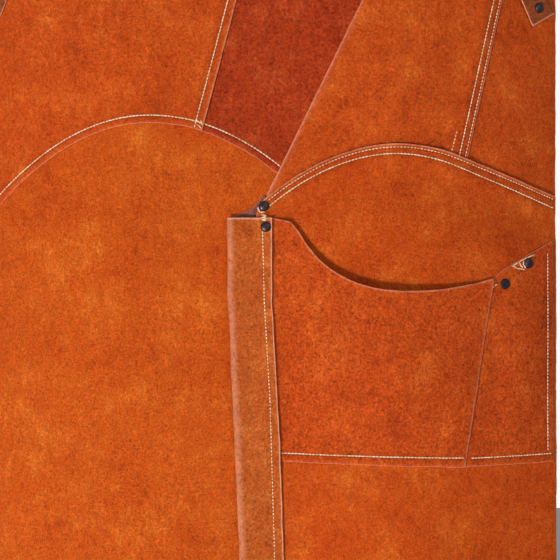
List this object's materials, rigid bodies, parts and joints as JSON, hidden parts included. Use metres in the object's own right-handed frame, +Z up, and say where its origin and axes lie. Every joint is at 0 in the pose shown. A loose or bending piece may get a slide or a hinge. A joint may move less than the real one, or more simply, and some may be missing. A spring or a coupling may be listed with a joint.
{
  "type": "welding apron",
  "caption": "Split-leg bib welding apron in rust split cowhide with lapped thigh seams, riveted slit, scooped patch pocket and crossed harness straps.",
  "frame": {"origin": "top of the rail that the crossed harness straps hang over, midway between them", "axes": "+Z up, outside of the apron towards -Y, wearer's side towards +Y, +X to the right seen from outside"},
  "size_m": [0.64, 0.0848, 1.3351],
  "materials": {
    "smooth_suede": "brushed split cowhide",
    "coarse_suede": "coarse flesh side",
    "facing_suede": "pale dry flesh side",
    "strap_leather": "waxed strap hide",
    "nickel_steel": "worn nickel",
    "gunmetal": "gunmetal",
    "black_enamel": "black enamel"
  },
  "bodies": {
    "apron": {"left_leg_panel": "smooth_suede", "right_leg_panel": "smooth_suede", "left_upper_panel": "smooth_suede", "right_upper_panel": "smooth_suede", "right_side_panel": "smooth_suede", "centre_panel": "coarse_suede", "side_pocket": "coarse_suede", "front_pocket": "coarse_suede", "slit_facing": "facing_suede", "underlap_facing": "facing_suede", "slit_reinforcement": "facing_suede", "bib_top_hem": "facing_suede", "left_bib_strap": "strap_leather", "left_harness_strap": "strap_leather", "left_waist_tab": "strap_leather", "right_bib_strap": "strap_leather", "right_harness_strap": "strap_leather", "right_waist_tab": "strap_leather", "left_snap_hook": "nickel_steel", "right_snap_hook": "nickel_steel", "slit_upper_rivet_cap": "gunmetal", "slit_upper_rivet_burr": "gunmetal", "slit_lower_rivet_cap": "gunmetal", "slit_lower_rivet_burr": "gunmetal", "pocket_corner_rivet_cap": "gunmetal", "pocket_corner_rivet_burr": "gunmetal", "left_bib_upper_rivet_cap": "gunmetal", "left_bib_upper_rivet_burr": "gunmetal", "left_bib_lower_rivet_cap": "gunmetal", "left_bib_lower_rivet_burr": "gunmetal", "left_waist_rivet_cap": "gunmetal", "left_waist_rivet_burr": "gunmetal", "left_strap_rivet_cap": "gunmetal", "left_strap_rivet_burr": "gunmetal", "right_bib_upper_rivet_cap": "gunmetal", "right_bib_upper_rivet_burr": "gunmetal", "right_bib_lower_rivet_cap": "gunmetal", "right_bib_lower_rivet_burr": "gunmetal", "right_waist_rivet_cap": "gunmetal", "right_waist_rivet_burr": "gunmetal", "right_strap_rivet_cap": "gunmetal", "right_strap_rivet_burr": "gunmetal", "left_gate_pin": "gunmetal", "right_gate_pin": "gunmetal", "pocket_stud_cap": "black_enamel", "pocket_stud_burr": "black_enamel"},
    "left_ring": {"left_waist_ring": "nickel_steel"},
    "left_gate": {"left_hook_gate": "nickel_steel"},
    "left_slider": {"left_strap_slider": "nickel_steel"},
    "right_ring": {"right_waist_ring": "nickel_steel"},
    "right_gate": {"right_hook_gate": "nickel_steel"},
    "right_slider": {"right_strap_slider": "nickel_steel"}
  },
  "joints": [
    {"name": "left_ring_swing", "type": "hinge", "parent": "apron", "child": "left_ring", "pos_m": [-0.28169, 0.03639, -0.5601], "axis": [0.7814, -0.3964, -0.4819], "range_deg": [-6, 6]},
    {"name": "left_gate_open", "type": "hinge", "parent": "apron", "child": "left_gate", "pos_m": [-0.26157, 0.02863, -0.5211], "axis": [0.7814, -0.3964, -0.4819], "range_deg": [0, 25], "stiffness_Nm_per_rad": 0.02, "springref_deg": -17.19},
    {"name": "left_slider_travel", "type": "slide", "parent": "apron", "child": "left_slider", "axis": [0.2068, 0, 0.9784], "range_m": [-0.012, 0.08]},
    {"name": "right_ring_swing", "type": "hinge", "parent": "apron", "child": "right_ring", "pos_m": [0.28168, 0.03838, -0.56012], "axis": [0.7809, 0.3961, 0.483], "range_deg": [-6, 6]},
    {"name": "right_gate_open", "type": "hinge", "parent": "apron", "child": "right_gate", "pos_m": [0.26157, 0.03049, -0.52113], "axis": [0.7809, 0.3961, 0.483], "range_deg": [0, 25], "stiffness_Nm_per_rad": 0.02, "springref_deg": -17.19},
    {"name": "right_slider_travel", "type": "slide", "parent": "apron", "child": "right_slider", "axis": [-0.2068, 0, 0.9784], "range_m": [-0.012, 0.08]}
  ]
}
